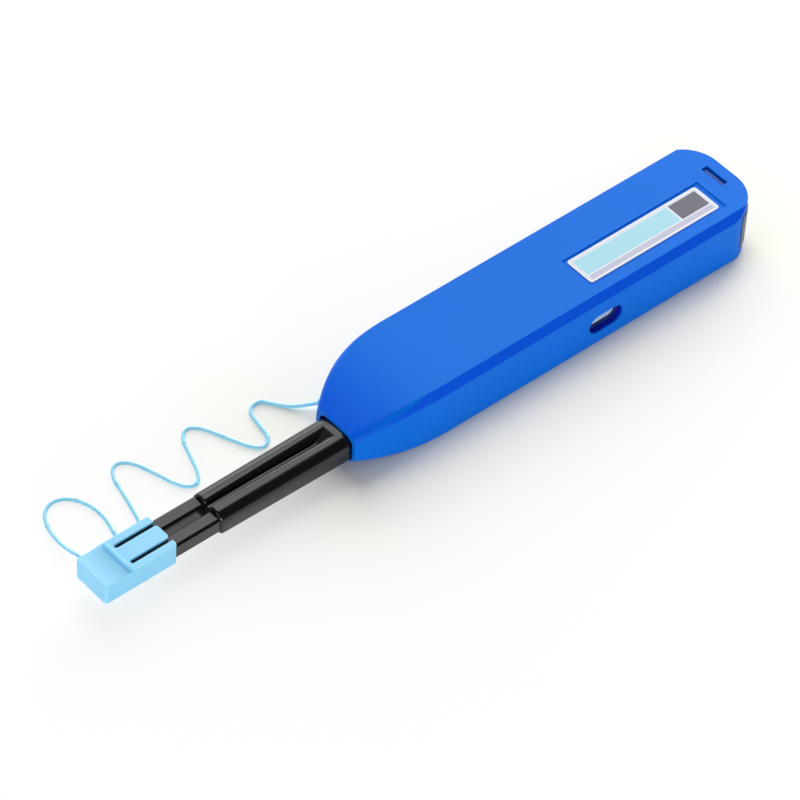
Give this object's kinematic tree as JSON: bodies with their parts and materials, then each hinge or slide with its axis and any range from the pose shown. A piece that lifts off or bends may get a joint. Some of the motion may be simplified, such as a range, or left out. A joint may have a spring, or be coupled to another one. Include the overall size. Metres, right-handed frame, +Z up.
{
  "type": "fibre connector cleaning pen",
  "caption": "Hand-held duplex fibre connector cleaner: flat case, sprung push nozzle that winds cleaning tape past both tips, and a tethered tip cap.",
  "frame": {"origin": "on the resting plane under the middle of the pen, midway between the case's rear face and the cap's front", "axes": "+X along the pen toward the cleaning tips, +Y toward the side with the tape window, +Z up from the resting face"},
  "size_m": [0.2114, 0.0428, 0.0168],
  "materials": {
    "case_blue": "fine satin moulding",
    "label_film": "printed film",
    "insert_grey": "matt moulding",
    "chassis_pale": "matt moulding",
    "steel": "plain steel",
    "spring_steel": "drawn spring steel",
    "spool_white": "matt moulding",
    "cleaning_tape": "woven microfibre",
    "acetal": "natural acetal",
    "nozzle_black": "satin moulding",
    "tip_white": "matt moulding",
    "cap_light_blue": "soft satin moulding",
    "tether_light_blue": "soft thermoplastic"
  },
  "bodies": {
    "housing": {"outer_case": "case_blue", "label": "label_film", "rear_insert": "insert_grey", "chassis_tray": "chassis_pale", "chassis_cover": "chassis_pale", "cover_screws": "steel", "pawl": "spring_steel", "brake_leaf": "spring_steel", "return_spring": "spring_steel", "tether_plug": "cap_light_blue", "tether": "tether_light_blue"},
    "nozzle": {"carriage": "nozzle_black", "drive_rack": "acetal", "nozzle_sleeve": "nozzle_black", "tip_guides": "nozzle_black", "cleaning_tips": "tip_white", "tip_springs": "spring_steel", "tape_strands": "cleaning_tape"},
    "takeup": {"takeup_spool": "spool_white", "takeup_tape": "cleaning_tape", "takeup_gear": "acetal"},
    "supply": {"supply_spool": "spool_white", "supply_tape": "cleaning_tape"},
    "cap": {"tip_cap": "cap_light_blue"}
  },
  "joints": [
    {"name": "nozzle_push", "type": "slide", "parent": "housing", "child": "nozzle", "axis": [-1, 0, 0], "range_m": [0, 0.012], "stiffness_N_per_m": 250, "springref_m": -0.004, "deforming": ["return_spring"]},
    {"name": "takeup_turn", "type": "hinge", "parent": "housing", "child": "takeup", "pos_m": [-0.0514, 0, 0.009], "axis": [0, 0, 1], "range_deg": [-100, 0]},
    {"name": "supply_turn", "type": "hinge", "parent": "housing", "child": "supply", "pos_m": [-0.077, 0, 0.009], "axis": [0, 0, 1], "range_deg": [-100, 0]},
    {"name": "cap_pull", "type": "slide", "parent": "housing", "child": "cap", "axis": [1, 0, 0], "range_m": [0, 0.03]}
  ],
  "couplings": [
    {"joint": "takeup_turn", "follows": "nozzle_push", "rad_per_m": -119.05},
    {"joint": "supply_turn", "follows": "nozzle_push", "rad_per_m": -119.05}
  ]
}
